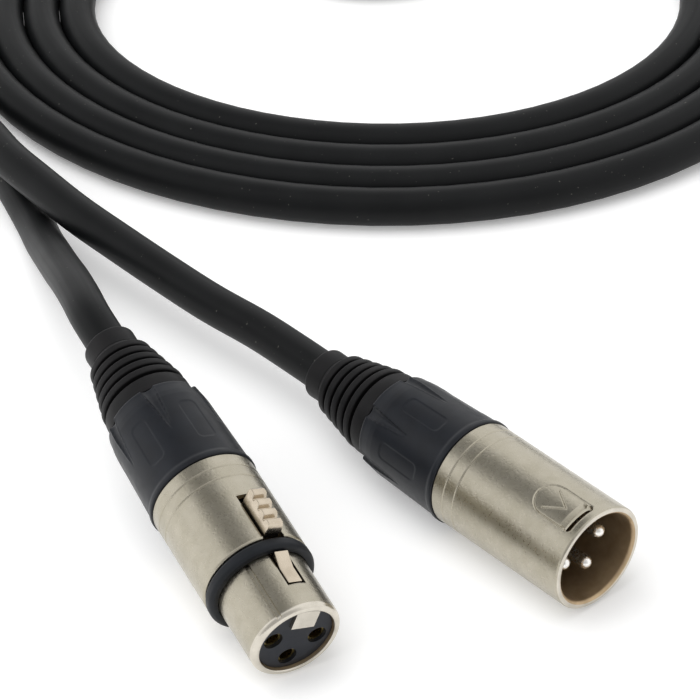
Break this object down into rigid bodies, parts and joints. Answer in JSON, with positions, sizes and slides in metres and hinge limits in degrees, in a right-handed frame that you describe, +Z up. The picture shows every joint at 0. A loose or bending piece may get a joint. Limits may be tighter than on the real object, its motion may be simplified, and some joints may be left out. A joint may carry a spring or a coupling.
{
  "type": "xlr cable coil",
  "caption": "Microphone cable wound into a flat doubled coil, with a three-pin plug and a latching three-pin socket side by side.",
  "frame": {"origin": "on the surface that the cable lies on, under the middle of the box round the two connectors to within 0.5 mm", "axes": "+Z up, -Y out of the plug's mouth along its axis, +X towards the middle of the coil"},
  "size_m": [0.2393, 0.2515, 0.0253],
  "materials": {
    "nickel_shell": "satin nickel plate on cast zinc, fine grain",
    "latch_nickel": "satin nickel plate, slightly warmer",
    "pin_metal": "silver-plated brass, bright",
    "socket_metal": "plated brass, dull",
    "spring_steel": "bare spring steel",
    "insert_plastic": "moulded, satin",
    "chuck_plastic": "moulded nylon",
    "bushing_plastic": "moulded hard nylon, fine texture",
    "boot_rubber": "moulded soft rubber, satin",
    "ring_rubber": "moulded rubber, satin",
    "jacket": "extruded flexible jacket, satin",
    "wire_insulation": "thin insulation"
  },
  "bodies": {
    "cable": {"plug_shell": "nickel_shell", "plug_insert": "insert_plastic", "contact_pins": "pin_metal", "ground_spring": "spring_steel", "plug_chuck": "chuck_plastic", "plug_bushing": "bushing_plastic", "plug_boot": "boot_rubber", "plug_cable_end": "jacket", "plug_wires": "wire_insulation", "socket_shell": "nickel_shell", "socket_insert": "insert_plastic", "contact_sockets": "socket_metal", "key_plate": "latch_nickel", "seal_ring": "ring_rubber", "latch_pin": "spring_steel", "latch_spring": "spring_steel", "socket_chuck": "chuck_plastic", "socket_bushing": "bushing_plastic", "socket_boot": "boot_rubber", "socket_cable_end": "jacket", "socket_wires": "wire_insulation", "plug_lead": "jacket", "socket_lead": "jacket", "cable_coil": "jacket"},
    "latch": {"latch_lever": "latch_nickel"}
  },
  "joints": [
    {"name": "latch_press", "type": "hinge", "parent": "cable", "child": "latch", "pos_m": [-0.01792, -0.00112, 0.01822], "axis": [0.9456, -0.1914, -0.2632], "range_deg": [0, 4.5], "stiffness_Nm_per_rad": 0.05, "springref_deg": -17.19, "deforming": ["latch_spring"]}
  ]
}
